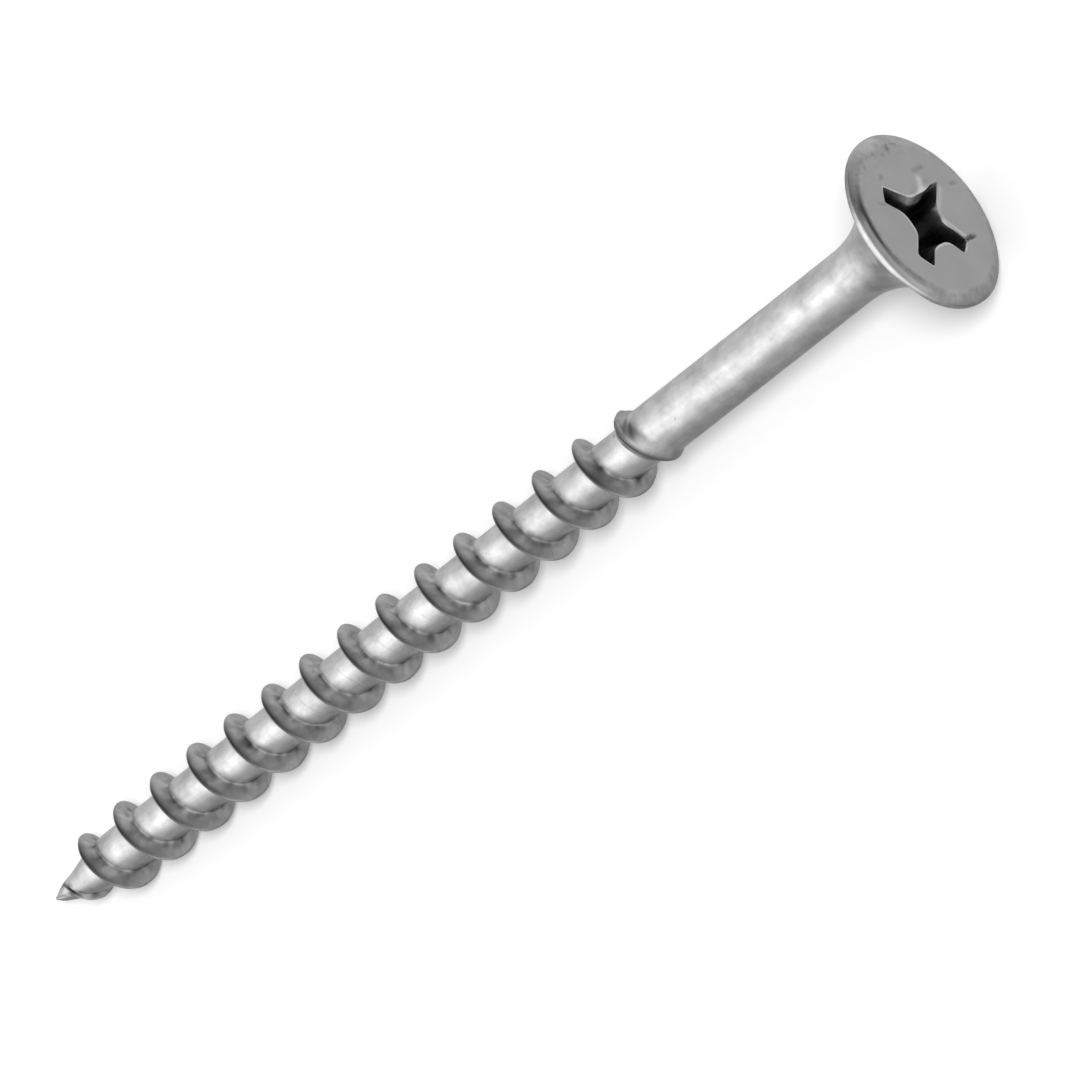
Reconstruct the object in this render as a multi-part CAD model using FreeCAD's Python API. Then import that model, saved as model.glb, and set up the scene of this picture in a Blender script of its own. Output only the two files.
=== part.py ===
import FreeCAD, Part
import math
import os

# Wood screw for deck and framing work: bugle head with a cross recess, plain shank,
# coarse right-handed thread and a gimlet point that starts its own hole.
#
# The screw lies along X. The origin is the centre of the head's flat top, the head faces
# +X and the tip is at X = -LENGTH. Millimetres, and degrees for angles about the axis,
# which count from +Y towards +Z.
#
# A real screw is headed and rolled from one length of wire. Each solid below is one region
# of that wire. It meets the next region face to face, and the ridge of the thread sits on
# the core along its whole base.

os.makedirs("parts", exist_ok=True)

# Overall sizes
LENGTH = 63.5
HEAD_DIAMETER = 8.8
SHANK_DIAMETER = 2.74
THREAD_DIAMETER = 3.9
ROOT_DIAMETER = 2.4
PITCH = 2.857

# Head: a flat face, a rounded edge, a narrow land and a concave bugle underside
EDGE_WIDTH = 0.65
EDGE_DROP = 0.38
RIM_LAND = 0.15
BUGLE_RADIUS = 5.0

# Cross recess for a number 2 driver
RECESS_SPAN = 4.93
RECESS_DEPTH = 2.3
RECESS_TAPER = 13.25
RECESS_TURN = 55.5
WING_WIDTH = 0.85
WING_DRAFT = 4.0
WEB_CHAMFER = 0.5
FLOOR_ANGLE = 59.0

# Thread: distances along the axis start at the tip
THREAD_LENGTH = 44.3
FIRST_CREST = 3.736
FIRST_CREST_TURN = 22.0
FLANK_ANGLE = 23.5
CREST_WIDTH = 0.1
RIDGE_START = 0.75
RIDGE_GROWTH = 4.6
RUN_OUT_TURNS = 0.33
FEATHER_HEIGHT = 0.03

# Gimlet point
POINT_LENGTH = 4.2
POINT_BLEND = 5.0
TIP_DIAMETER = 0.2

# Collar: the raised lip, leaning back, where the shank ends and the thread starts
COLLAR_LENGTH = 1.7
COLLAR_RISE = 0.365
COLLAR_FLARE = 0.9
COLLAR_TILT = 19.5
COLLAR_OFFSET = 0.085
COLLAR_SEAT = 0.4
RUN_OUT_GAP = 0.1

# How the ridge's surfaces are drawn: points a turn on each edge, and both edges run forward
STATIONS_PER_TURN = 16
FORWARD = 1

AXIS = FreeCAD.Vector(1, 0, 0)
CENTRE = FreeCAD.Vector(0, 0, 0)

head_radius = HEAD_DIAMETER / 2
shank_radius = SHANK_DIAMETER / 2
thread_radius = THREAD_DIAMETER / 2
root_radius = ROOT_DIAMETER / 2
tip_radius = TIP_DIAMETER / 2
lip_radius = shank_radius + COLLAR_RISE

# Where each region ends along X
bugle_edge = -EDGE_DROP - RIM_LAND
bugle_rise = head_radius - shank_radius
neck_x = bugle_edge - math.sqrt(BUGLE_RADIUS ** 2 - (BUGLE_RADIUS - bugle_rise) ** 2)
collar_face = THREAD_LENGTH - LENGTH
collar_end = collar_face + COLLAR_LENGTH
collar_lean = (lip_radius + COLLAR_OFFSET) * math.tan(math.radians(COLLAR_TILT))
core_end = collar_face - collar_lean - COLLAR_SEAT
ridge_end = collar_face - collar_lean - RUN_OUT_GAP
point_corner = POINT_LENGTH - LENGTH
cone_start = tip_radius - LENGTH
cone_angle = math.atan2(root_radius - tip_radius, point_corner - cone_start)
blend_reach = POINT_BLEND * math.tan(cone_angle / 2)
point_end = point_corner + blend_reach


def at(x, radius, turn=0.0):
    """The point at a distance along the axis, a radius and an angle about the axis."""
    angle = math.radians(turn)
    return FreeCAD.Vector(x, radius * math.cos(angle), radius * math.sin(angle))


def line(start, end):
    return Part.LineSegment(start, end).toShape()


def arc_about(x, radius, size, first, last):
    """An arc in the profile plane, with its centre, radius and first and last angles."""
    points = []
    for degrees in (first, (first + last) / 2, last):
        angle = math.radians(degrees)
        points.append(at(x + size * math.cos(angle), radius + size * math.sin(angle)))
    return Part.Arc(*points).toShape()


def turned(edges):
    """A solid of revolution about the axis from the edges of half its profile."""
    return Part.Face(Part.Wire(edges)).revolve(CENTRE, AXIS, 360)


def cylinder(start, end, radius):
    return Part.makeCylinder(radius, end - start, at(start, 0), AXIS)


def core_radius(x):
    """Radius of the point and the threaded core, under the ridge."""
    if x >= point_end:
        return root_radius
    blend_start = point_corner - blend_reach * math.cos(cone_angle)
    if x >= blend_start:
        return root_radius - POINT_BLEND + math.sqrt(POINT_BLEND ** 2 - (point_end - x) ** 2)
    return tip_radius + (x - cone_start) * math.tan(cone_angle)


def cross_section(x):
    """The recess's cross at one depth, as a closed wire with chamfered inner corners."""
    reach = RECESS_SPAN / 2 + x * math.tan(math.radians(RECESS_TAPER))
    half = WING_WIDTH / 2 + x * math.tan(math.radians(WING_DRAFT))
    corner = half + WEB_CHAMFER
    points = []
    for quarter in range(4):
        for along, across in ((corner, -half), (reach, -half), (reach, half), (corner, half)):
            turn = RECESS_TURN + 90 * quarter + math.degrees(math.atan2(across, along))
            points.append(at(x, math.hypot(along, across), turn))
    return Part.makePolygon(points + points[:1])


def drive_recess():
    """The space of the cross recess, from above the face down to its conical floor."""
    wings = Part.makeLoft([cross_section(EDGE_DROP), cross_section(-RECESS_DEPTH)], True, True)
    hub = WING_WIDTH / 2 + WEB_CHAMFER / 2
    floor_depth = hub / math.tan(math.radians(FLOOR_ANGLE))
    floor = Part.makeCone(hub, 0, floor_depth, at(-RECESS_DEPTH, 0), -AXIS)
    return wings.fuse(floor)


def bugle_head():
    face_radius = head_radius - EDGE_WIDTH
    edge_round = (EDGE_WIDTH ** 2 + EDGE_DROP ** 2) / (2 * EDGE_DROP)
    edge_turn = math.degrees(math.asin(EDGE_WIDTH / edge_round))
    edge = arc_about(-edge_round, face_radius, edge_round, 0, edge_turn)
    bugle_turn = math.degrees(math.asin((bugle_edge - neck_x) / BUGLE_RADIUS))
    bugle = arc_about(neck_x, shank_radius + BUGLE_RADIUS, BUGLE_RADIUS, bugle_turn - 90, -90)
    profile = [
        line(CENTRE, at(0, face_radius)),
        edge,
        line(at(-EDGE_DROP, head_radius), at(bugle_edge, head_radius)),
        bugle,
        line(at(neck_x, shank_radius), at(neck_x, 0)),
        line(at(neck_x, 0), CENTRE),
    ]
    return turned(profile).cut(drive_recess())


def shank():
    return cylinder(collar_end, neck_x, shank_radius)


def thread_collar():
    """The flared end of the shank: a leaning lip that steps down to the thread's root."""
    lean = FreeCAD.Rotation(at(0, 1, FIRST_CREST_TURN + 90), COLLAR_TILT)
    leaning_axis = lean.multVec(AXIS)
    lip_centre = at(collar_face, 0) + lean.multVec(at(0, COLLAR_OFFSET, FIRST_CREST_TURN))
    buried = shank_radius - COLLAR_RISE / 2
    flare = Part.makeCone(lip_radius, buried, COLLAR_FLARE, lip_centre, leaning_axis)
    body = cylinder(core_end, collar_end, shank_radius).fuse(flare)
    size = HEAD_DIAMETER
    behind = Part.makeBox(size, size, size, FreeCAD.Vector(0, -size / 2, -size / 2))
    behind.Placement = FreeCAD.Placement(at(collar_face, 0), lean)
    root = cylinder(core_end, collar_face, root_radius)
    return body.common(behind).fuse(root).removeSplitter()


def thread_core():
    return cylinder(point_end, core_end, root_radius)


def gimlet_point():
    blend_turn = 90 + math.degrees(cone_angle)
    blend = arc_about(point_end, root_radius - POINT_BLEND, POINT_BLEND, 90, blend_turn)
    cone_end = blend.Vertexes[-1].Point
    dome = arc_about(cone_start, 0, tip_radius, 90 + math.degrees(cone_angle), 180)
    profile = [
        line(at(-LENGTH, 0), at(point_end, 0)),
        line(at(point_end, 0), at(point_end, root_radius)),
        blend,
        line(cone_end, dome.Vertexes[0].Point),
        dome,
    ]
    return turned(profile)


def ridge_section(crest):
    """Height and half widths of the ridge where its crest is at this distance along X."""
    grown = min(1, (crest - RIDGE_START + LENGTH) / RIDGE_GROWTH)
    faded = min(1, (ridge_end - crest) / (RUN_OUT_TURNS * PITCH))
    height = (thread_radius - root_radius) * math.sin(math.pi / 2 * grown) * faded
    height = max(FEATHER_HEIGHT, height)
    half_base = CREST_WIDTH / 2 + height * math.tan(math.radians(FLANK_ANGLE))
    return height, half_base


def thread_ridge():
    """The helical ridge: four long faces on shared edges, closed by a small face at each end."""
    first = RIDGE_START - LENGTH
    crest_origin = FIRST_CREST - LENGTH
    count = math.ceil((ridge_end - first) / PITCH * STATIONS_PER_TURN)
    rails = [[], [], [], []]
    for station in range(count + 1):
        crest = first + (ridge_end - first) * station / count
        turn = FIRST_CREST_TURN + 360 * (crest - crest_origin) / PITCH
        height, half_base = ridge_section(crest)
        top = core_radius(crest) + height
        rails[0].append(at(crest - half_base, core_radius(crest - half_base), turn))
        rails[1].append(at(crest - CREST_WIDTH / 2, top, turn))
        rails[2].append(at(crest + CREST_WIDTH / 2, top, turn))
        rails[3].append(at(crest + half_base, core_radius(crest + half_base), turn))
    edges = []
    for points in rails:
        curve = Part.BSplineCurve()
        curve.interpolate(Points=points, Parameters=[float(n) for n in range(count + 1)])
        edges.append(curve.toShape())
    faces = []
    for side in range(4):
        faces.append(Part.makeRuledSurface(edges[side], edges[(side + 1) % 4], FORWARD))
    for end in (0, -1):
        corners = [points[end] for points in rails]
        faces.append(Part.Face(Part.makePolygon(corners + corners[:1])))
    shell = Part.makeShell(faces)
    shell.sewShape()
    solid = Part.makeSolid(shell)
    if solid.Volume < 0:
        solid.reverse()
    return solid


REGIONS = {
    "bugle_head": bugle_head,
    "shank": shank,
    "thread_collar": thread_collar,
    "thread_core": thread_core,
    "thread_ridge": thread_ridge,
    "gimlet_point": gimlet_point,
}

for name, make in REGIONS.items():
    shape = make()
    shape.exportStep("parts/" + name + ".step")
    print(name, shape.ShapeType, len(shape.Solids), shape.isValid(), round(shape.Volume, 4))
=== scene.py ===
import math

import bmesh
import bpy
from mathutils import Matrix, Vector, noise


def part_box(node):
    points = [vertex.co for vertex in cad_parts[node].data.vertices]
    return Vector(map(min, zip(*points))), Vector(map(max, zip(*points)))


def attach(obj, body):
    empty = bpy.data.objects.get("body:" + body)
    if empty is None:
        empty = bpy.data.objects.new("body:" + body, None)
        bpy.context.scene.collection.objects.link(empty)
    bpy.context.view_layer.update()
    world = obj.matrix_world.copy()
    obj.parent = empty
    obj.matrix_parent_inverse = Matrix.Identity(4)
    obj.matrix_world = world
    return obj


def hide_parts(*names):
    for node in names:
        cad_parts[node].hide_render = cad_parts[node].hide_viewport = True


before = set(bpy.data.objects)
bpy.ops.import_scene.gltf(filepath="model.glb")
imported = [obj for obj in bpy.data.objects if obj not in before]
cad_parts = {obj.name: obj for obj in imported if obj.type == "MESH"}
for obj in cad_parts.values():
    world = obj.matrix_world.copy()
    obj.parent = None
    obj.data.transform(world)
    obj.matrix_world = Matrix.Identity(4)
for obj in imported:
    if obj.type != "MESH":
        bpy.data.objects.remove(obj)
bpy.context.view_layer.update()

# The screw lies along X with its head's flat top at X = 0, so X below is the distance from
# that face, negative towards the tip. Shapes are worked out in millimetres, angles about the
# axis in degrees from +Y towards +Z, and MM turns the result into the frame's metres.
MM = 0.001

# Sizes and places taken from the frame
head_low, head_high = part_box("bugle_head")
collar_low, collar_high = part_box("thread_collar")
HEAD_RADIUS = head_high.y / MM
NECK_X = head_low.x / MM
SHANK_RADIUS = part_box("shank")[1].y / MM
COLLAR_START = collar_low.x / MM
COLLAR_END = collar_high.x / MM
ROOT_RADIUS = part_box("thread_core")[1].y / MM
POINT_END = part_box("gimlet_point")[1].x / MM
TIP_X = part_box("gimlet_point")[0].x / MM
THREAD_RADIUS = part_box("thread_ridge")[1].y / MM

# The side that faces the camera
NEAR_TURN = 112.0

# Head, from its flat face outwards: an edge that slopes more and more (it drops less on the near
# side), then a narrow land that is raised where it is worn, then the concave underside
FACE_RADIUS = HEAD_RADIUS - 0.62
EDGE_DROP = 0.28
EDGE_DROP_TILT = 0.08
EDGE_START_SLOPE = 6.0
EDGE_END_SLOPE = 42.0
RIM_DEPTH = 0.45
RAISED_LAND_TURN = 137.0
BUGLE_RADIUS = 5.0

# Cross recess: its regular punch, which the floor keeps
RECESS_TURN = 55.5
RECESS_REACH = 2.465
RECESS_DEPTH = 2.3
RECESS_TAPER = 13.25
WING_HALF = 0.42
WING_DRAFT = 4.0
WEB_CORNER = 0.95
WEB_DRAFT = 0.16
# The recess's mouth, five corners for each arm in turn: two at its end, the web's two and the
# next arm's near one. Each is y, z and how far the corner's rounding reaches, in mm.
WORN_MOUTH = (
    (1.23, 2.21, 0), (0.80, 2.38, 0.10), (0.26, 1.45, 0.35), (-0.75, 1.10, 0.35),
    (-1.84, 1.84, 0.20),
    (-2.15, 1.48, 0), (-2.45, 1.09, 0.08), (-1.50, 0.50, 0.40), (-1.20, -0.55, 0.40),
    (-1.86, -1.32, 0.10),
    (-1.58, -1.60, 0), (-1.24, -1.86, 0.08), (-0.30, -0.84, 0.22), (0.55, -0.90, 0.25),
    (1.78, -1.76, 0.04),
    (1.68, -1.45, 0), (1.58, -1.12, 0.10), (1.26, -0.55, 0.25), (0.94, 0.55, 0.30),
    (1.60, 2.03, 0.08),
)
# Raised burrs beside the recess: y, z and height
BURRS = (
    (1.55, -0.75, 0.07), (1.2, -0.1, 0.04), (-0.85, -1.4, 0.05), (-1.3, -0.1, 0.03),
    (-0.2, 1.25, 0.03),
)
# Nicks in the face: from y, z to y, z, then width and depth
NICKS = (
    (-1.20, -1.82, -1.03, -2.50, 0.08, 0.16),
    (1.74, -0.95, 1.15, 0.10, 0.20, 0.03),
    (2.30, -0.50, 2.52, -1.10, 0.12, 0.05),
    (1.95, 1.95, 2.15, 1.80, 0.08, 0.05),
    (1.60, -2.60, 1.66, -2.90, 0.09, 0.05),
    (0.69, 2.50, 0.75, 2.75, 0.05, 0.04),
)
# Corners of WORN_MOUTH whose web is worn into a bevel, how far it goes towards the floor's
# outline, and the depth it ends at
BEVELLED = (17, 18)
BEVEL_SHARE = 0.7
BEVEL_DEPTH = 0.35
# Bright streaks painted on the face, listed like the nicks with a brightness last
BRIGHT_STREAKS = (
    (1.90, -0.60, 1.45, -0.52, 0.21, 0.85),
    (1.40, -0.45, 1.00, 0.15, 0.15, 0.70),
    (1.45, -1.78, 0.50, -1.12, 0.08, 0.45),
    (-0.11, -0.98, -1.05, -1.98, 0.07, 0.80),
)
# Rounding of the recess's mouth, and the height of the burr that runs along it
EDGE_ROUND = 0.06
BURR = 0.02
BURR_REACH = 0.12

# Thread
PITCH = 2.857
FIRST_CREST_X = TIP_X + 3.736
FIRST_CREST_TURN = 22.0
FLANK_SLOPE = 1 / math.tan(math.radians(23.5))
CREST_HALF = 0.05
CREST_SHIFT = 0.07
FILLET_REACH = 0.14
MIN_RIDGE_HEIGHT = 0.16
# Turns of the crest, counted from the first full one, at which the ridge and its painted shade
# end
RIDGE_FIRST_TURN = -1.05
RIDGE_LAST_TURN = 14.6
SHADE_LAST_TURN = 14.4
TIP_BEND = 0.16
BENT_LENGTH = 1.8

# Collar: the lip's middle, and how far it leans in two directions
LIP_X = -19.22
LIP_LEAN = 0.57
LIP_SHIFT = 0.15
LIP_RADIUS = 1.63
LIP_RADIUS_LEAN = 0.06

# Mesh density: points around, and rows along each surface
AROUND = 128
SHANK_ROWS = 70
BEFORE_LIP_ROWS = 22
LIP_ROWS = 26
AFTER_LIP_ROWS = 10
LIP_REACH = 0.7
# Rows on each side of the crest, as shares of the ridge's half base, then over the bare core
RIDGE_ROWS = (0.07, 0.14, 0.24, 0.36, 0.5, 0.65, 0.8, 0.92, 1.02, 1.12, 1.28, 1.5)
CORE_ROWS = 4
# The head's rows run from the neck to the recess's floor; LAND_ROW, FACE_ROW and EDGE_ROW are
# the first ones of the land, the flat face and the recess's mouth
HEAD_AROUND = 256
BUGLE_ROWS = 40
EDGE_ROWS = 12
FACE_ROWS = 28
FACE_CROWDING = 1.4
MOUTH_ROWS = 5
RECESS_ROWS = 12
LAND_ROW = BUGLE_ROWS
FACE_ROW = LAND_ROW + 2 + EDGE_ROWS
EDGE_ROW = FACE_ROW + FACE_ROWS
# Points nearer than this, in metres, are joined
WELD = 2e-7


def smooth_step(low, high, value):
    t = min(1, max(0, (value - low) / (high - low)))
    return t * t * (3 - 2 * t)


def blend(a, b, t):
    return a + (b - a) * t


def smooth_max(a, b, reach):
    """The larger of two values, with the crossing rounded over a reach."""
    near = max(0, reach - abs(a - b))
    return max(a, b) + near * near / (4 * reach)


def smooth_min(a, b, reach):
    return -smooth_max(-a, -b, reach)


def polar(radius, turn):
    angle = math.radians(turn)
    return Vector((0, radius * math.cos(angle), radius * math.sin(angle)))


def place(x, radius, turn):
    """A point about the axis, which bends a little to one side near the tip."""
    bent = max(0, 1 - (x - TIP_X) / BENT_LENGTH)
    return Vector((x, 0, 0)) + polar(radius, turn) + polar(TIP_BEND * bent, FIRST_CREST_TURN)


def lumps(point, size, seed):
    """Smooth noise between -1 and 1 for uneven plating and rolling marks."""
    return noise.noise(point / size + Vector((seed, 7.3 * seed, 3.1 * seed)))


# The thread's surface as a radius at each distance and angle

def crest_x(turns):
    """Where the crest is after this many turns from the first full crest.

    Over the head's half it runs slightly nearer the head on one side of every turn.
    """
    shift = CREST_SHIFT * smooth_step(4, 10, turns) * math.sin(2 * math.pi * turns)
    return FIRST_CREST_X + PITCH * turns + shift


def core_radius(x):
    """The root: a blunt tip, a cone and then the plain core."""
    from_tip = x - TIP_X
    blunt = smooth_min(0.07 + 0.50 * from_tip, 0.27 + 0.24 * from_tip, 0.12)
    return smooth_min(smooth_max(blunt, 0.285 * from_tip, 0.1), ROOT_RADIUS, 0.25)


def crest_radius(turns):
    """The ridge grows out of the point, and sinks into the collar's lip at its other end."""
    from_tip = crest_x(turns) - TIP_X
    grown = smooth_min(0.2 + 0.49 * (from_tip - 0.4), THREAD_RADIUS, 0.3)
    sinking = smooth_step(13.1, 13.7, turns) * 0.10 + smooth_step(13.8, 14.5, turns) * 0.75
    rising = 0.45 * (1 - smooth_step(RIDGE_FIRST_TURN, -0.70, turns))
    wavy = 0.022 * lumps(place(crest_x(turns), THREAD_RADIUS, 360 * turns), 0.8, 1)
    return grown + wavy - sinking - rising


def flank_drop(offset):
    """How far the ridge has fallen away at a distance from its crest line."""
    start = CREST_HALF / 2
    past = max(0, abs(offset) - start)
    if past < CREST_HALF:
        return FLANK_SLOPE * past * past / (2 * CREST_HALF)
    return FLANK_SLOPE * (past - CREST_HALF / 2)


def nearest_crest(x, turn):
    """The number of turns at the crest that is nearest to a point."""
    part_turn = (turn - FIRST_CREST_TURN) / 360
    return part_turn + round((x - crest_x(part_turn)) / PITCH)


def ridge_radius(x, turn):
    """The ridge's surface at a point; far from the ridge it lies below the core."""
    turns = nearest_crest(x, turn)
    if turns < RIDGE_FIRST_TURN or turns > RIDGE_LAST_TURN:
        return 0
    return crest_radius(turns) - flank_drop(x - crest_x(turns))


def lean(turn):
    """1 at the side where the first crest is counted, -1 opposite."""
    return math.cos(math.radians(turn - FIRST_CREST_TURN))


def side(turn):
    """1 a quarter turn on from where the first crest is counted, -1 opposite."""
    return math.sin(math.radians(turn - FIRST_CREST_TURN))


def lip_x(turn):
    """The middle of the collar's lip at an angle; the lip leans two ways."""
    return LIP_X - LIP_LEAN * lean(turn) + LIP_SHIFT * side(turn)


def body_radius(x, turn):
    """The core, the lip and the shank, without the ridge."""
    middle = lip_x(turn)
    worn_side = max(0, side(turn))
    lip = LIP_RADIUS + LIP_RADIUS_LEAN * lean(turn) - 0.10 * worn_side
    low = core_radius(x)
    rise = smooth_step(middle - 0.66 + 0.1 * lean(turn), middle - 0.06, x)
    fall = smooth_step(middle - 0.02, middle + 0.55 - 0.1 * lean(turn) + 0.40 * worn_side, x)
    return blend(blend(low, lip, rise), SHANK_RADIUS, fall)


def surface(x, turn):
    """The screw's radius at a point, with the marks that rolling and plating leave."""
    radius = smooth_max(body_radius(x, turn), ridge_radius(x, turn), FILLET_REACH)
    point = place(x, radius, turn)
    burr = 0.06 * bell(x, TIP_X + 0.45, 0.4) * lumps(point, 0.28, 15)
    return radius + burr + 0.007 * lumps(point, 0.9, 2) + 0.004 * lumps(point, 0.3, 3)


# How far the colour is darkened, mostly as painted shade in creases, under the lip, along the
# near crests and at the rim's edge: 0 is untouched

def bell(value, middle, width):
    return math.exp(-((value - middle) / width) ** 2)


def thread_painted_shade(x, turn, point):
    """Painted shade along the crest on the near upper side, and mottled painted shade at the
    ridge's feet and on its head-side flank.
    """
    turns = nearest_crest(x, turn)
    if turns < RIDGE_FIRST_TURN or turns > SHADE_LAST_TURN:
        return 0
    offset = x - crest_x(turns)
    height = max(0, crest_radius(turns) - core_radius(x))
    base = CREST_HALF + height / FLANK_SLOPE
    upper_side = bell(math.cos(math.radians(turn - 95)), 1, 0.35)
    # Painted shade: the crest on the near upper side, the ridge's foot and its head-side flank
    crest = 1.0 * bell(offset, 0.03, 0.11) * upper_side
    foot = bell(abs(offset), base + 0.03, 0.15) * (0.30 + 0.8 * lumps(point, 0.3, 11))
    flank = bell(offset, 0.3, 0.15) * (0.1 + 0.5 * lumps(point, 0.4, 12))
    return crest + foot + flank


def collar_shade_and_rings(x, turn, point):
    """Painted shade under the lip, stronger on one side, with faint darker rings behind it."""
    middle = lip_x(turn)
    # Painted shade under the lip
    under = bell(x, middle - 0.12, 0.22) * (0.6 + 0.4 * bell(turn, 85, 45))
    rings = lumps(Vector((point.x * 4, point.y, point.z)), 0.7, 13)
    behind = bell(x, middle + 0.50, 0.40) * bell(turn, 60, 50) * (0.1 + 1.2 * rings)
    return 1.2 * under + max(0, behind)


def rim_darkening(x, turn, radius):
    """Painted shade in a line and band just outside the flat face, on the near side, and a
    darker stretch of land.
    """
    if x < -land_depth(turn) - 0.02 or radius < FACE_RADIUS - 0.02:
        return 0
    if x < -edge_drop(turn) - 0.02:
        return 0.6 * smooth_step(30, 50, turn) * (1 - smooth_step(78, 92, turn))
    # Painted shade on the rounded edge, strongest on the near side
    line = 0.3 * bell(radius, FACE_RADIUS + 0.10, 0.07) * bell(turn, 134, 14)
    middle = FACE_RADIUS + 0.20 + 0.09 * bell(turn, 80, 15)
    width = 0.11 + 0.05 * bell(turn, 84, 13)
    return line + bell(radius, middle, width) * (0.08 + 1.25 * bell(turn, 93, 25))


def painted_shade_and_marks(point):
    """How far any point's colour is darkened, from 0 to 1, mostly as painted shade."""
    turn = math.degrees(math.atan2(point.z, point.y))
    radius = math.hypot(point.y, point.z)
    value = rim_darkening(point.x, turn, radius)
    if point.x < COLLAR_START + 0.3:
        value += thread_painted_shade(point.x, turn, point)
    if COLLAR_START - 1 < point.x < COLLAR_END + 1:
        value += collar_shade_and_rings(point.x, turn, point)
    if point.x > -0.3 and radius < FACE_RADIUS:
        # Painted shade in the nicks, and darker rough patches near the rim's edge
        value += 6 * marked(point, NICKS)
        rough = bell(turn, 15, 35) * smooth_step(3.0, 3.7, radius)
        value += 0.9 * rough * max(0, lumps(point, 0.3, 16))
    return min(1, max(0, value))


# Mesh making

def make_mesh(name, points, faces):
    mesh = bpy.data.meshes.new(name)
    mesh.from_pydata([p * MM for p in points], [], faces)
    mesh.update()
    piece = bpy.data.objects.new(name, mesh)
    bpy.context.scene.collection.objects.link(piece)
    return piece


def add_attribute(piece, name, values):
    attribute = piece.data.attributes.new(name, "FLOAT", "POINT")
    attribute.data.foreach_set("value", values)


def finish_piece(piece, nodes):
    """Closes the open ends with flat caps, keeps their corners sharp and the rest smooth."""
    work = bmesh.new()
    work.from_mesh(piece.data)
    bmesh.ops.remove_doubles(work, verts=work.verts, dist=WELD)
    bmesh.ops.dissolve_degenerate(work, edges=work.edges, dist=WELD)
    open_edges = [edge for edge in work.edges if edge.is_boundary]
    caps = bmesh.ops.holes_fill(work, edges=open_edges, sides=0)["faces"]
    for face in work.faces:
        face.smooth = True
    for cap in caps:
        cap.smooth = False
        for edge in cap.edges:
            edge.smooth = False
    bmesh.ops.recalc_face_normals(work, faces=work.faces)
    work.to_mesh(piece.data)
    work.free()
    add_attribute(piece, "painted_shade_and_marks", [painted_shade_and_marks(vertex.co / MM) for vertex in piece.data.vertices])
    piece.data.materials.append(STEEL)
    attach(piece, "root")
    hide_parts(*nodes)
    return piece


def ring_faces(rows, around):
    """Quads between neighbouring closed rows of points."""
    faces = []
    for row in range(rows - 1):
        for step in range(around):
            after = (step + 1) % around
            low, high = row * around, (row + 1) * around
            faces.append((low + step, low + after, high + after, high + step))
    return faces


def from_rows(name, rows):
    around = len(rows[0])
    points = [point for row in rows for point in row]
    return make_mesh(name, points, ring_faces(len(rows), around))


def spread(low, high, count):
    """Evenly spaced values, both ends included."""
    return [blend(low, high, n / (count - 1)) for n in range(count)]


# Threaded regions: rows of points that follow the helix

def offsets_from_crest(turns):
    """Distances along X from the crest to one pitch's rows, close together on the ridge."""
    height = max(MIN_RIDGE_HEIGHT, crest_radius(turns) - core_radius(crest_x(turns)))
    base = CREST_HALF + height / FLANK_SLOPE
    ahead = [base * share for share in RIDGE_ROWS]
    ahead += spread(ahead[-1], PITCH / 2, CORE_ROWS + 1)[1:]
    return [-d for d in reversed(ahead)] + [0] + ahead


def thread_strip(name, low_x, high_x):
    """The threaded surface between two planes. Rows outside them are folded onto them."""
    first = math.floor(((low_x - FIRST_CREST_X) / PITCH - 0.5) * AROUND)
    last = math.ceil(((high_x - FIRST_CREST_X) / PITCH + 0.5) * AROUND)
    points, faces = [], []
    for step in range(first, last + 1):
        turns = step / AROUND
        turn = FIRST_CREST_TURN + 360 * turns
        for offset in offsets_from_crest(turns):
            x = min(high_x, max(low_x, crest_x(turns) + offset))
            points.append(place(x, surface(x, turn), turn))
    rows = len(offsets_from_crest(0))
    for column in range(last - first):
        for row in range(rows - 1):
            corner = column * rows + row
            faces.append((corner, corner + rows, corner + rows + 1, corner + 1))
    return make_mesh(name, points, faces)


def thread_collar():
    """Closed rows that lean with the lip, so that its edge stays crisp."""
    rows = []
    turns = [FIRST_CREST_TURN + 360 * step / AROUND for step in range(AROUND)]
    for share in spread(0, 1, BEFORE_LIP_ROWS)[:-1]:
        row = []
        for turn in turns:
            x = blend(COLLAR_START, lip_x(turn) - LIP_REACH, share)
            row.append(place(x, surface(x, turn), turn))
        rows.append(row)
    for offset in spread(-LIP_REACH, LIP_REACH, LIP_ROWS):
        row = []
        for turn in turns:
            x = lip_x(turn) + offset
            row.append(place(x, surface(x, turn), turn))
        rows.append(row)
    for share in spread(0, 1, AFTER_LIP_ROWS)[1:]:
        row = []
        for turn in turns:
            x = blend(lip_x(turn) + LIP_REACH, COLLAR_END, share)
            row.append(place(x, surface(x, turn), turn))
        rows.append(row)
    return from_rows("collar_with_lip", rows)


def shank():
    rows = []
    for x in spread(COLLAR_END, NECK_X, SHANK_ROWS):
        turns = [FIRST_CREST_TURN + 360 * step / AROUND for step in range(AROUND)]
        rows.append([place(x, surface(x, turn), turn) for turn in turns])
    return from_rows("plain_shank", rows)


# Head

def punch_corners():
    """The regular cross at the recess floor: (corner, rounding) about the axis, in order."""
    reach = RECESS_REACH - RECESS_DEPTH * math.tan(math.radians(RECESS_TAPER))
    half = WING_HALF - RECESS_DEPTH * math.tan(math.radians(WING_DRAFT))
    web = WEB_CORNER - WEB_DRAFT
    quarter = (
        (reach, 0, 0), (reach, half, 0.08), (web, half, 0.06), (half, web, 0.06),
        (half, reach, 0.08),
    )
    path = []
    for arm in range(4):
        spin = Matrix.Rotation(math.radians(RECESS_TURN + 90 * arm), 2)
        for along, across, size in quarter:
            path.append((spin @ Vector((along, across)), size))
    return path


def mouth_corners():
    """The uneven cross at the face, with each corner's rounding."""
    return [(Vector((y, z)), size) for y, z, size in WORN_MOUTH]


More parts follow.
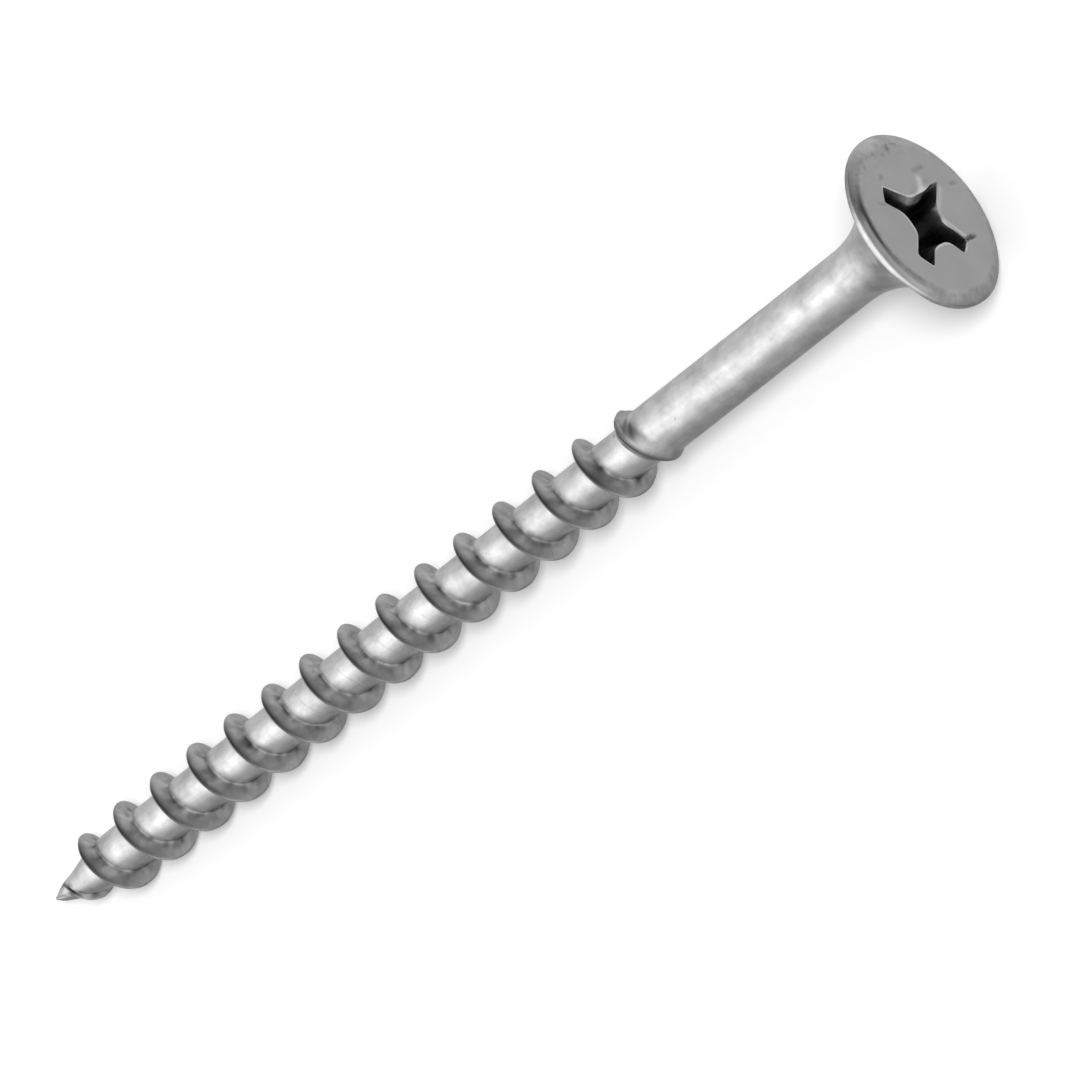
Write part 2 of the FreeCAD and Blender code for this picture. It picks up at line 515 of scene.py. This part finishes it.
def cross_outline(depth):
    """The recess's outline at a depth, as points evenly spaced along it."""
    even = depth / RECESS_DEPTH
    path = []
    for n, ((mouth, wide), (floor, tight)) in enumerate(zip(mouth_corners(), punch_corners())):
        share = even
        if n in BEVELLED:
            share = max(even, BEVEL_SHARE * smooth_step(0, BEVEL_DEPTH, depth))
        path.append((mouth.lerp(floor, share), blend(wide, tight, min(1, 3 * even))))
    return evenly_spaced(rounded(path), HEAD_AROUND)


def rounded(path):
    """A closed path's points, with each corner replaced by a short smooth curve."""
    points = []
    for n, (corner, size) in enumerate(path):
        before = (path[n - 1][0] - corner).normalized() * size
        after = (path[(n + 1) % len(path)][0] - corner).normalized() * size
        if size == 0:
            points.append(corner)
            continue
        for t in spread(0, 1, 7):
            points.append(corner + before * (1 - t) ** 2 + after * t ** 2)
    return points


def evenly_spaced(points, count):
    closed = points + points[:1]
    lengths = [0]
    for a, b in zip(closed, closed[1:]):
        lengths.append(lengths[-1] + (b - a).length)
    result = []
    span = 0
    for n in range(count):
        wanted = lengths[-1] * n / count
        while lengths[span + 1] < wanted:
            span += 1
        part = (wanted - lengths[span]) / (lengths[span + 1] - lengths[span])
        result.append(closed[span].lerp(closed[span + 1], part))
    return result


def recess_point(x, flat):
    return Vector((x, flat.x, flat.y))


def edge_drop(turn):
    """How far the edge falls from the face to the land, which is less on the near side."""
    return EDGE_DROP - EDGE_DROP_TILT * math.cos(math.radians(turn - NEAR_TURN))


def land_depth(turn):
    """How far below the face the land ends; it rises in one worn stretch."""
    return RIM_DEPTH - 0.10 * bell(turn, RAISED_LAND_TURN, 13)


def marked(point, marks):
    """The summed strength of a list of marks (y, z to y, z, width, strength) at a point."""
    total = 0
    spot = Vector((point.y, point.z))
    for y0, z0, y1, z1, width, strength in marks:
        start, along = Vector((y0, z0)), Vector((y1 - y0, z1 - z0))
        share = min(1, max(0, (spot - start).dot(along) / along.length_squared))
        near = (spot - start - along * share).length / width
        total += strength * math.exp(-near * near)
    return total


def burr_height(point):
    """How far the metal is pushed up beside the recess."""
    height = BURR * (0.6 + 0.6 * lumps(point, 0.5, 6))
    for y, z, tall in BURRS:
        height += tall * math.exp(-(math.hypot(point.y - y, point.z - z) / 0.35) ** 2)
    return height


def face_height(point):
    """The face is slightly wavy, with a few nicks."""
    nicked = marked(point, NICKS) * (1 + 0.6 * lumps(point, 0.12, 8))
    return 0.003 * lumps(point, 0.8, 7) - nicked


def bugle_head():
    """Rows from the neck out to the rim, in over the face and down into the recess."""
    rows = []
    turns = [RECESS_TURN + 360 * step / HEAD_AROUND for step in range(HEAD_AROUND)]

    def ring(x, radius):
        row = []
        for turn in turns:
            here = x(turn) if callable(x) else x
            row.append(place(here, uneven(here, radius, turn), turn))
        rows.append(row)

    def uneven(x, radius, turn):
        point = place(x, radius, turn)
        if x == NECK_X:
            return surface(x, turn)
        return radius + 0.008 * lumps(point, 1.1, 4) + 0.004 * lumps(point, 0.35, 5)

    end = math.acos(1 - (HEAD_RADIUS - 0.03 - SHANK_RADIUS) / BUGLE_RADIUS)
    for angle in spread(0, end, BUGLE_ROWS):
        share = math.sin(angle) / math.sin(end)
        radius = SHANK_RADIUS + BUGLE_RADIUS * (1 - math.cos(angle))
        ring(lambda turn: blend(NECK_X, -land_depth(turn) - 0.03, share), radius)
    ring(lambda turn: -land_depth(turn), HEAD_RADIUS - 0.005)
    ring(lambda turn: -edge_drop(turn) - 0.03, HEAD_RADIUS)
    low, high = math.radians(EDGE_START_SLOPE), math.radians(EDGE_END_SLOPE)
    chord = math.hypot(HEAD_RADIUS - FACE_RADIUS, EDGE_DROP)
    size = chord / (2 * math.sin((high - low) / 2))
    tilt = math.atan2(EDGE_DROP, HEAD_RADIUS - FACE_RADIUS) - (low + high) / 2
    for slope in reversed(spread(low, high, EDGE_ROWS)):
        along = size * (math.sin(slope) - math.sin(low))
        down = size * (math.cos(low) - math.cos(slope))
        fallen = (down * math.cos(tilt) + along * math.sin(tilt)) / EDGE_DROP
        radius = FACE_RADIUS + along * math.cos(tilt) - down * math.sin(tilt)
        ring(lambda turn: -fallen * edge_drop(turn), radius)

    rim = [place(0, FACE_RADIUS, turn) for turn in turns]
    mouth = cross_outline(0)
    for n in range(1, FACE_ROWS + 1):
        share = (1 - n / (FACE_ROWS + 1)) ** FACE_CROWDING
        row = []
        for outer, flat in zip(rim, mouth):
            edge = recess_point(0, flat * (1 + EDGE_ROUND / flat.length))
            point = edge.lerp(outer, share)
            away = (point - edge).length
            point.x = burr_height(point) * math.exp(-away / BURR_REACH) + face_height(point)
            row.append(point)
        rows.append(row)
    for angle in spread(0, math.pi / 2, MOUTH_ROWS):
        inward = EDGE_ROUND * (1 - math.sin(angle))
        depth = EDGE_ROUND * (1 - math.cos(angle))
        row = []
        for flat in mouth:
            point = recess_point(-depth, flat * (1 + inward / flat.length))
            point.x += burr_height(point) * (1 - depth / EDGE_ROUND)
            row.append(point)
        rows.append(row)
    for depth in spread(EDGE_ROUND, RECESS_DEPTH, RECESS_ROWS)[1:]:
        rows.append([recess_point(-depth, flat) for flat in cross_outline(depth)])
    bottom = cross_outline(RECESS_DEPTH)
    for share in (0.8, 0.6, 0.4, 0.2, 0.05):
        row = []
        for flat in bottom:
            inner = flat * share
            sink = 0.6 * max(0, WING_HALF + 0.2 - inner.length)
            row.append(recess_point(-RECESS_DEPTH - sink, inner))
        rows.append(row)
    piece = from_rows("head_with_recess", rows)
    mark_head(piece)
    return piece


def mark_head(piece):
    """Stores the depth in the recess, the flat face, and where the colour is brightened: painted
    highlights on the recess's mouth, the near side of the rim's edge and one recess wall, the
    raised land, and bright streaks on the face.
    """
    depths, flats, edges = [], [], []
    for vertex in piece.data.vertices:
        row = vertex.index // HEAD_AROUND
        depth = -vertex.co.x / MM
        # Depth in the recess, which the colour darkens with as painted shade
        depths.append(smooth_step(0.05, 0.9, depth) if row >= EDGE_ROW else 0)
        flats.append(1 if row >= FACE_ROW else 0)
        # Painted highlight along the recess's mouth, in patches
        worn = 0.55 + 1.4 * lumps(vertex.co / MM, 0.7, 14)
        brightening = worn if EDGE_ROW - 2 <= row <= EDGE_ROW + 4 else 0
        turn = math.degrees(math.atan2(vertex.co.z, vertex.co.y))
        radius = math.hypot(vertex.co.y, vertex.co.z) / MM
        if LAND_ROW <= row <= LAND_ROW + 1:
            brightening = 0.9 * bell(turn, RAISED_LAND_TURN, 15)
        # Painted highlight on the near side of the rim's edge
        if LAND_ROW + 2 <= row < FACE_ROW:
            near_band = smooth_step(82, 94, turn) * (1 - smooth_step(142, 156, turn))
            brightening = 0.9 * near_band * smooth_step(FACE_RADIUS + 0.28, FACE_RADIUS + 0.40, radius)
        # Bright streaks painted on the face
        if FACE_ROW <= row < EDGE_ROW:
            brightening += marked(vertex.co / MM, BRIGHT_STREAKS)
        # Painted highlight on one recess wall, just below the mouth
        if row > EDGE_ROW + 4 and vertex.co.y > 0.5 * MM:
            brightening += 0.7 * bell(depth, 0.2, 0.22) * bell(vertex.co.z / MM, 0.1, 0.9)
        edges.append(min(1, max(0, brightening)))
    add_attribute(piece, "recess_depth", depths)
    add_attribute(piece, "flat_face", flats)
    add_attribute(piece, "painted_highlight_and_wear", edges)


# Material: dull zinc plating on steel

def make_steel():
    steel = bpy.data.materials.new("zinc_plated_steel")
    steel.use_nodes = True
    nodes, links = steel.node_tree.nodes, steel.node_tree.links
    shader = nodes["Principled BSDF"]
    shader.inputs["Metallic"].default_value = 1.0
    place_node = nodes.new("ShaderNodeTexCoord")

    def cloud(size, detail, roughness, stretch=1):
        """Noise of a size in mm, which can be stretched along the screw."""
        mapping = nodes.new("ShaderNodeMapping")
        across = 1 / (size * MM)
        mapping.inputs["Scale"].default_value = (across / stretch, across, across)
        links.new(place_node.outputs["Object"], mapping.inputs["Vector"])
        texture = nodes.new("ShaderNodeTexNoise")
        texture.inputs["Scale"].default_value = 1
        texture.inputs["Detail"].default_value = detail
        texture.inputs["Roughness"].default_value = roughness
        links.new(mapping.outputs["Vector"], texture.inputs["Vector"])
        return texture.outputs["Fac"]

    def stored(name):
        node = nodes.new("ShaderNodeAttribute")
        node.attribute_name = name
        return node.outputs["Fac"]

    def ramp(value, stops):
        node = nodes.new("ShaderNodeValToRGB")
        while len(node.color_ramp.elements) < len(stops):
            node.color_ramp.elements.new(0.5)
        for element, (spot, grey) in zip(node.color_ramp.elements, stops):
            element.position = spot
            element.color = (grey, grey, grey, 1)
        links.new(value, node.inputs["Fac"])
        return node.outputs["Color"]

    def mix(kind, factor, a, b):
        node = nodes.new("ShaderNodeMix")
        node.data_type = "RGBA"
        node.blend_type = kind
        if isinstance(factor, (int, float)):
            node.inputs["Factor"].default_value = factor
        else:
            links.new(factor, node.inputs["Factor"])
        for socket, value in ((node.inputs["A"], a), (node.inputs["B"], b)):
            if isinstance(value, tuple):
                socket.default_value = value
            else:
                links.new(value, socket)
        return node.outputs["Result"]

    mottled = ramp(cloud(1.1, 5, 0.62), ((0.32, 0.48), (0.66, 0.68)))
    streaks = ramp(cloud(0.28, 4, 0.6, 7), ((0.35, 0.80), (0.6, 1.0)))
    specks = ramp(cloud(0.45, 4, 0.7), ((0.24, 0.5), (0.32, 1.0)))
    plain = ramp(cloud(1.4, 4, 0.55), ((0.3, 0.55), (0.7, 0.61)))
    colour = mix("MULTIPLY", 0.55, mottled, streaks)
    colour = mix("MIX", stored("flat_face"), colour, plain)
    colour = mix("MULTIPLY", 1.0, colour, specks)
    # Painted shade and darker marks: the colour goes to dark grey where the darkening is stored
    colour = mix("MIX", stored("painted_shade_and_marks"), colour, (0.13, 0.13, 0.13, 1))
    # Painted shade deeper in the recess: the colour goes dark grey, streaked lighter down the
    # walls
    recess_shade = ramp(cloud(0.5, 2, 0.5, 12), ((0.40, 0.14), (0.65, 0.45)))
    colour = mix("MIX", stored("recess_depth"), colour, recess_shade)
    # Painted highlights, with brighter raised land and face streaks: the colour goes near white
    colour = mix("MIX", stored("painted_highlight_and_wear"), colour, (0.95, 0.95, 0.95, 1))
    links.new(colour, shader.inputs["Base Color"])
    gloss = ramp(cloud(0.7, 4, 0.6), ((0.3, 0.24), (0.7, 0.40)))
    links.new(gloss, shader.inputs["Roughness"])

    bump = nodes.new("ShaderNodeBump")
    bump.inputs["Strength"].default_value = 0.25
    bump.inputs["Distance"].default_value = 0.02 * MM
    links.new(cloud(0.25, 5, 0.6), bump.inputs["Height"])
    links.new(bump.outputs["Normal"], shader.inputs["Normal"])
    return steel


STEEL = make_steel()

finish_piece(bugle_head(), ["bugle_head"])
finish_piece(shank(), ["shank"])
finish_piece(thread_collar(), ["thread_collar"])
threaded_length = thread_strip("threaded_length", POINT_END, COLLAR_START)
finish_piece(threaded_length, ["thread_core", "thread_ridge"])
finish_piece(thread_strip("gimlet_tip", TIP_X, POINT_END), ["gimlet_point"])


# Stage: a pale floor just under the head's rim and the crest that lies nearest the tip

# In metres, unlike the other two
FLOOR_HALF = 3.0
FLOOR_GAP = 0.02
CREST_FROM_TIP = 5

def make_floor():
    mesh = bpy.data.meshes.new("floor")
    corners = [(-1, -1, 0), (1, -1, 0), (1, 1, 0), (-1, 1, 0)]
    mesh.from_pydata([Vector(c) * FLOOR_HALF for c in corners], [], [(0, 1, 2, 3)])
    floor = bpy.data.objects.new("floor", mesh)
    bpy.context.scene.collection.objects.link(floor)
    lean_angle = math.atan2(HEAD_RADIUS - THREAD_RADIUS, -TIP_X - CREST_FROM_TIP)
    floor.rotation_euler = (0, lean_angle, 0)
    floor.location = (0, 0, -(HEAD_RADIUS + FLOOR_GAP) * MM)
    paper = bpy.data.materials.new("white_paper")
    paper.use_nodes = True
    shader = paper.node_tree.nodes["Principled BSDF"]
    shader.inputs["Base Color"].default_value = (0.9, 0.9, 0.9, 1)
    shader.inputs["Roughness"].default_value = 0.9
    mesh.materials.append(paper)
    floor.visible_glossy = False


make_floor()


# Camera: angles of the screw's axis in the picture, and where the face's centre is seen from

AXIS_IN_PICTURE = math.radians(38.167)
AXIS_TO_CAMERA = math.radians(36.976)
FACE_IN_CAMERA = Vector((16.977, 14.135, -432.57))
LENS = 329.4


def make_camera():
    cb, sb = math.cos(AXIS_IN_PICTURE), math.sin(AXIS_IN_PICTURE)
    cg, sg = math.cos(AXIS_TO_CAMERA), math.sin(AXIS_TO_CAMERA)
    axis = Vector((cg * cb, cg * sb, sg))
    near_side = Vector((-sg * cb, -sg * sb, cg))
    upper_side = Vector((-sb, cb, 0))
    near, upper = math.radians(NEAR_TURN), math.radians(NEAR_TURN - 90)
    y_axis = upper_side * math.cos(upper) + near_side * math.cos(near)
    z_axis = upper_side * math.sin(upper) + near_side * math.sin(near)
    turn = Matrix((axis, y_axis, z_axis))
    camera = bpy.data.objects.new("camera", bpy.data.cameras.new("camera"))
    bpy.context.scene.collection.objects.link(camera)
    camera.matrix_world = Matrix.Translation(turn @ -FACE_IN_CAMERA * MM) @ turn.to_4x4()
    camera.data.sensor_width = 36.0
    camera.data.lens = LENS
    camera.data.clip_start = 0.01
    camera.data.clip_end = 20
    bpy.context.scene.camera = camera


make_camera()


# Light: a soft sun for the shadow, and a room of soft panels that only the metal reflects

TOWARDS_SUN = (0.592, -0.211, 0.784)
SUN_STRENGTH = 2.15
SUN_ANGLE = 17.0
FILL_STRENGTH = 0.72
# How fast a panel fades from its middle, then each one's direction and brightness
PANEL_SOFTNESS = 11
ROOM_LIGHTS = (
    ((-0.15, -0.40, 0.90), 0.30),
    ((-0.54, -0.09, 0.84), 1.05), ((-0.72, -0.42, 0.55), 1.03), ((-0.69, 0.29, 0.66), 0.82),
    ((-0.93, 0.04, 0.38), 0.52), ((0.50, -0.32, 0.80), 0.51), ((0.67, 0.25, 0.70), 0.43),
    ((0.22, -0.96, 0.16), 0.41), ((0.29, 0.72, -0.62), 0.37), ((0.84, -0.18, 0.52), 0.37),
    ((-0.50, 0.72, 0.48), 0.37), ((-0.80, 0.56, 0.20), 0.36), ((-0.65, 0.71, -0.27), 0.36),
    ((0.17, 0.97, -0.16), 0.33), ((0.33, -0.71, 0.62), 0.31), ((-0.39, 0.92, 0.02), 0.30),
    ((0.69, -0.21, -0.70), 0.29), ((-0.34, -0.94, -0.02), 0.28), ((0.73, -0.55, -0.41), 0.28),
    ((0.54, -0.83, -0.12), 0.28), ((0.67, -0.66, 0.34), 0.27), ((-0.74, 0.38, -0.55), 0.27),
    ((0.00, -0.95, -0.30), 0.26), ((0.63, 0.70, -0.34), 0.25), ((0.19, 0.01, -0.98), 0.24),
    ((0.83, 0.23, -0.52), 0.24), ((-0.11, -0.89, 0.45), 0.24), ((-0.47, -0.74, -0.48), 0.23),
    ((0.49, 0.34, -0.80), 0.18), ((-0.62, -0.74, 0.27), 0.18), ((-0.34, 0.59, -0.73), 0.18),
    ((-0.54, 0.07, -0.84), 0.17), ((0.02, 0.41, -0.91), 0.16), ((-0.16, 0.88, -0.45), 0.16),
    ((-0.92, -0.09, -0.38), 0.16), ((-0.68, -0.32, -0.66), 0.15), ((-0.31, -0.60, 0.73), 0.14),
    ((-0.23, -0.23, -0.95), 0.12), ((0.97, -0.08, -0.23), 0.11), ((0.49, 0.86, 0.12), 0.10),
    ((-0.95, -0.30, 0.09), 0.10), ((-0.04, 0.95, 0.30), 0.10),
)


def make_light():
    """Lights the floor with the sun and a plain fill, and the metal with the room alone."""
    sun = bpy.data.objects.new("sun", bpy.data.lights.new("sun", "SUN"))
    sun.data.energy = SUN_STRENGTH
    sun.data.angle = math.radians(SUN_ANGLE)
    sun.visible_glossy = False
    bpy.context.scene.collection.objects.link(sun)
    sun.rotation_euler = Vector(TOWARDS_SUN).to_track_quat("Z", "Y").to_euler()

    world = bpy.data.worlds.new("room")
    bpy.context.scene.world = world
    world.use_nodes = True
    nodes, links = world.node_tree.nodes, world.node_tree.links
    nodes.clear()
    out = nodes.new("ShaderNodeOutputWorld")
    where = nodes.new("ShaderNodeTexCoord")

    def maths(operation, a, b=0.0):
        node = nodes.new("ShaderNodeMath")
        node.operation = operation
        for socket, value in zip(node.inputs, (a, b)):
            if isinstance(value, (int, float)):
                socket.default_value = value
            else:
                links.new(value, socket)
        return node.outputs[0]

    def panel(direction, strength):
        """A round light that fades away from its middle."""
        dot = nodes.new("ShaderNodeVectorMath")
        dot.operation = "DOT_PRODUCT"
        dot.inputs[1].default_value = Vector(direction).normalized()
        links.new(where.outputs["Generated"], dot.inputs[0])
        off_centre = maths("SUBTRACT", dot.outputs["Value"], 1)
        fade = maths("EXPONENT", maths("MULTIPLY", off_centre, PANEL_SOFTNESS))
        return maths("MULTIPLY", fade, strength)

    total = panel(*ROOM_LIGHTS[0])
    for direction, strength in ROOM_LIGHTS[1:]:
        total = maths("ADD", total, panel(direction, strength))
    room = nodes.new("ShaderNodeBackground")
    links.new(total, room.inputs["Color"])
    backdrop = nodes.new("ShaderNodeBackground")
    fill = nodes.new("ShaderNodeBackground")
    fill.inputs["Strength"].default_value = FILL_STRENGTH
    path = nodes.new("ShaderNodeLightPath")
    first = nodes.new("ShaderNodeMixShader")
    links.new(path.outputs["Is Camera Ray"], first.inputs["Fac"])
    links.new(fill.outputs[0], first.inputs[1])
    links.new(backdrop.outputs[0], first.inputs[2])
    second = nodes.new("ShaderNodeMixShader")
    links.new(path.outputs["Is Glossy Ray"], second.inputs["Fac"])
    links.new(first.outputs[0], second.inputs[1])
    links.new(room.outputs[0], second.inputs[2])
    for shade in (fill, backdrop):
        shade.inputs["Color"].default_value = (1, 1, 1, 1)
    links.new(second.outputs[0], out.inputs["Surface"])


make_light()

bpy.context.scene.view_settings.view_transform = "Standard"
